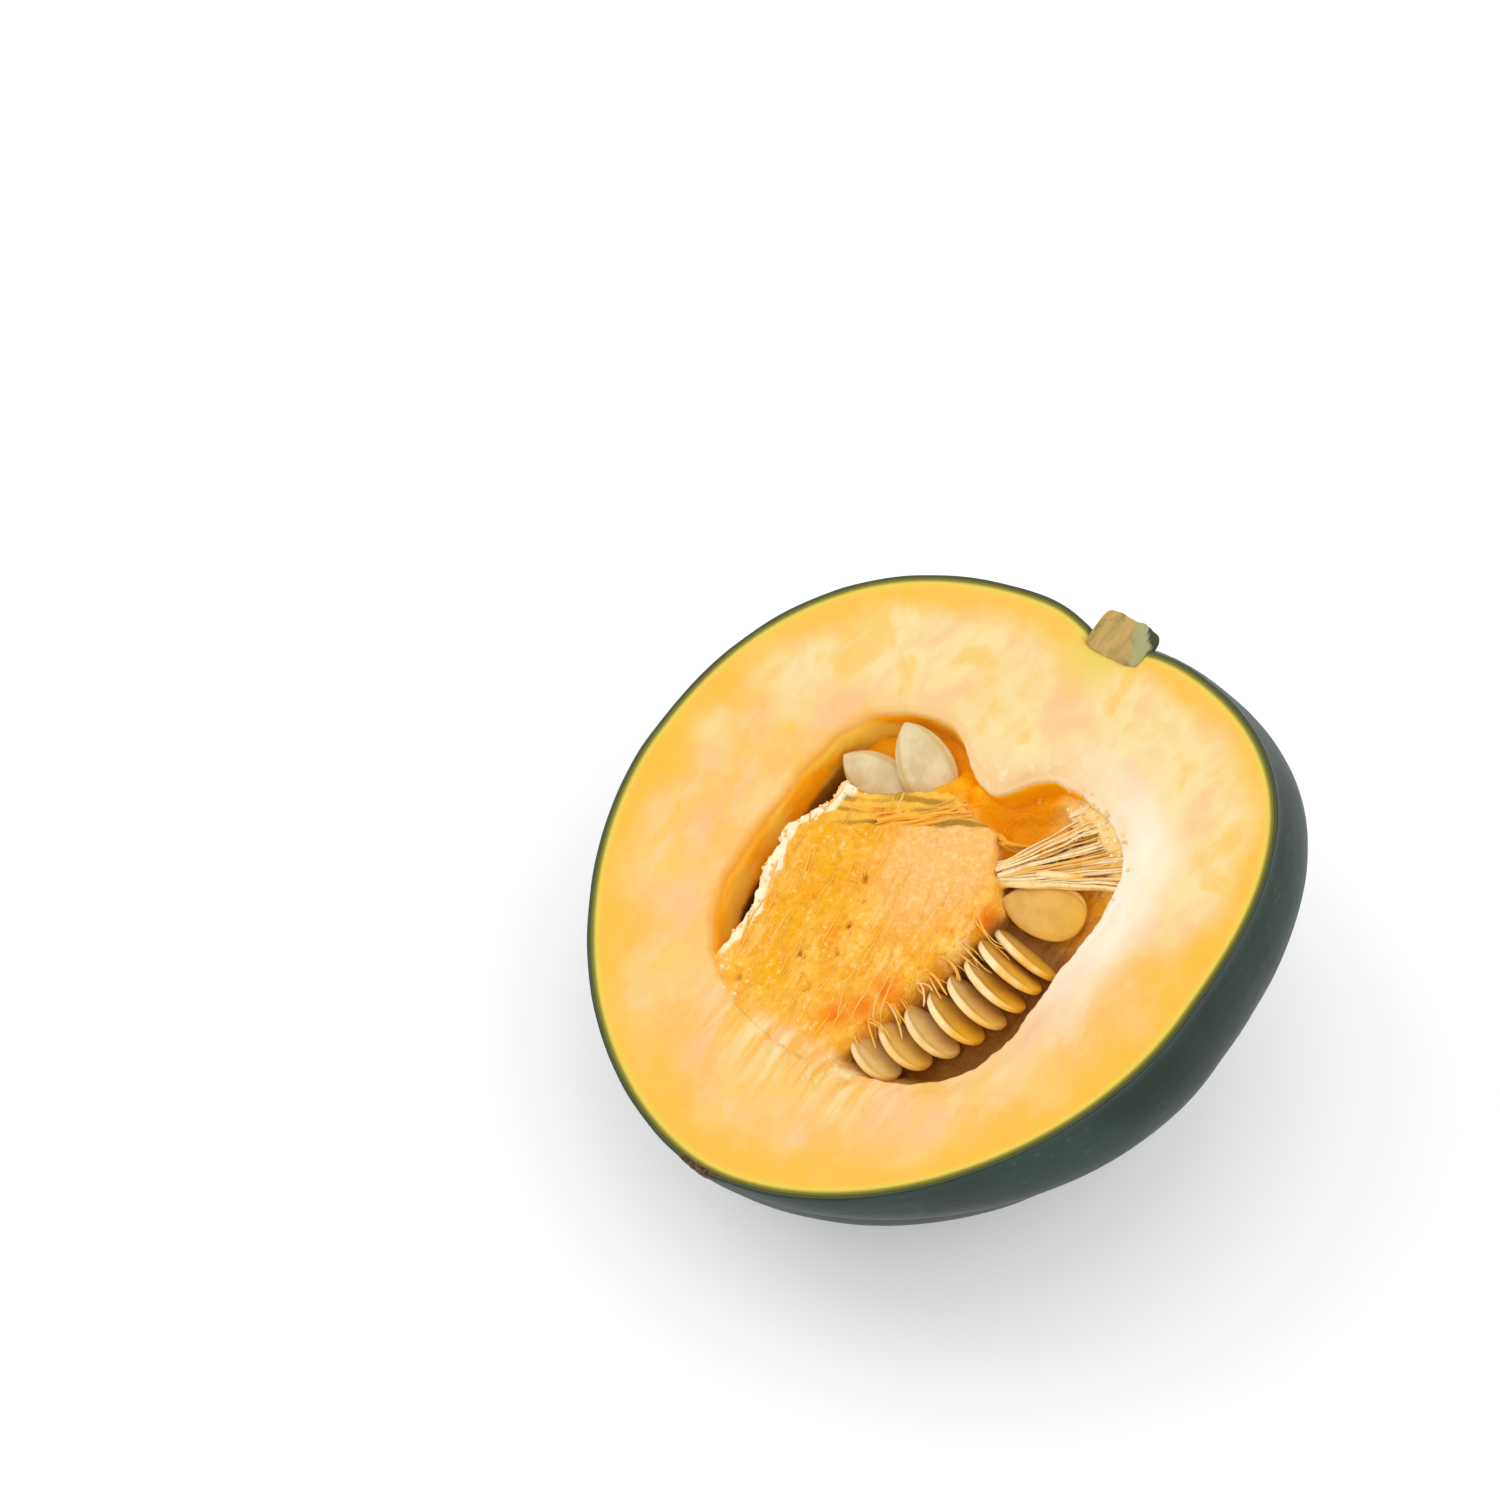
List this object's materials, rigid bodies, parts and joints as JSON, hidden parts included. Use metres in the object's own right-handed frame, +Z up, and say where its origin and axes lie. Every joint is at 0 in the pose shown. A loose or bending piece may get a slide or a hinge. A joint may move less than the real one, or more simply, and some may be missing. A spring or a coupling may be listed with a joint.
{
  "type": "acorn squash half",
  "caption": "Half an acorn squash cut lengthwise, with dark green ribbed rind, yellow-orange flesh, fibrous pulp, seeds and a stem stub.",
  "frame": {"origin": "middle of the box's underside, on the surface that the half lies on", "axes": "+Z up, out of the cut face as nearly as it lies; +X along the core towards the stem; +Y towards the lower edge of the cut"},
  "size_m": [0.131, 0.1296, 0.0832],
  "materials": {
    "rind": "waxy satin, dark green",
    "flesh": "moist cut flesh, pale orange, yellow at the rim",
    "pulp": "moist fibre, orange",
    "stem": "dry and corky, beige to olive",
    "seed": "smooth cream"
  },
  "bodies": {
    "root": {"rind": "rind", "flesh": "flesh", "pulp": "pulp", "stem": "stem", "seed_by_wall": "seed", "seed_upright": "seed", "seed_flat": "seed", "seed_under_strands": "seed", "seed_row_1": "seed", "seed_row_2": "seed", "seed_row_3": "seed", "seed_row_4": "seed", "seed_row_5": "seed", "seed_row_6": "seed", "seed_row_7": "seed", "seed_row_8": "seed"}
  },
  "joints": []
}
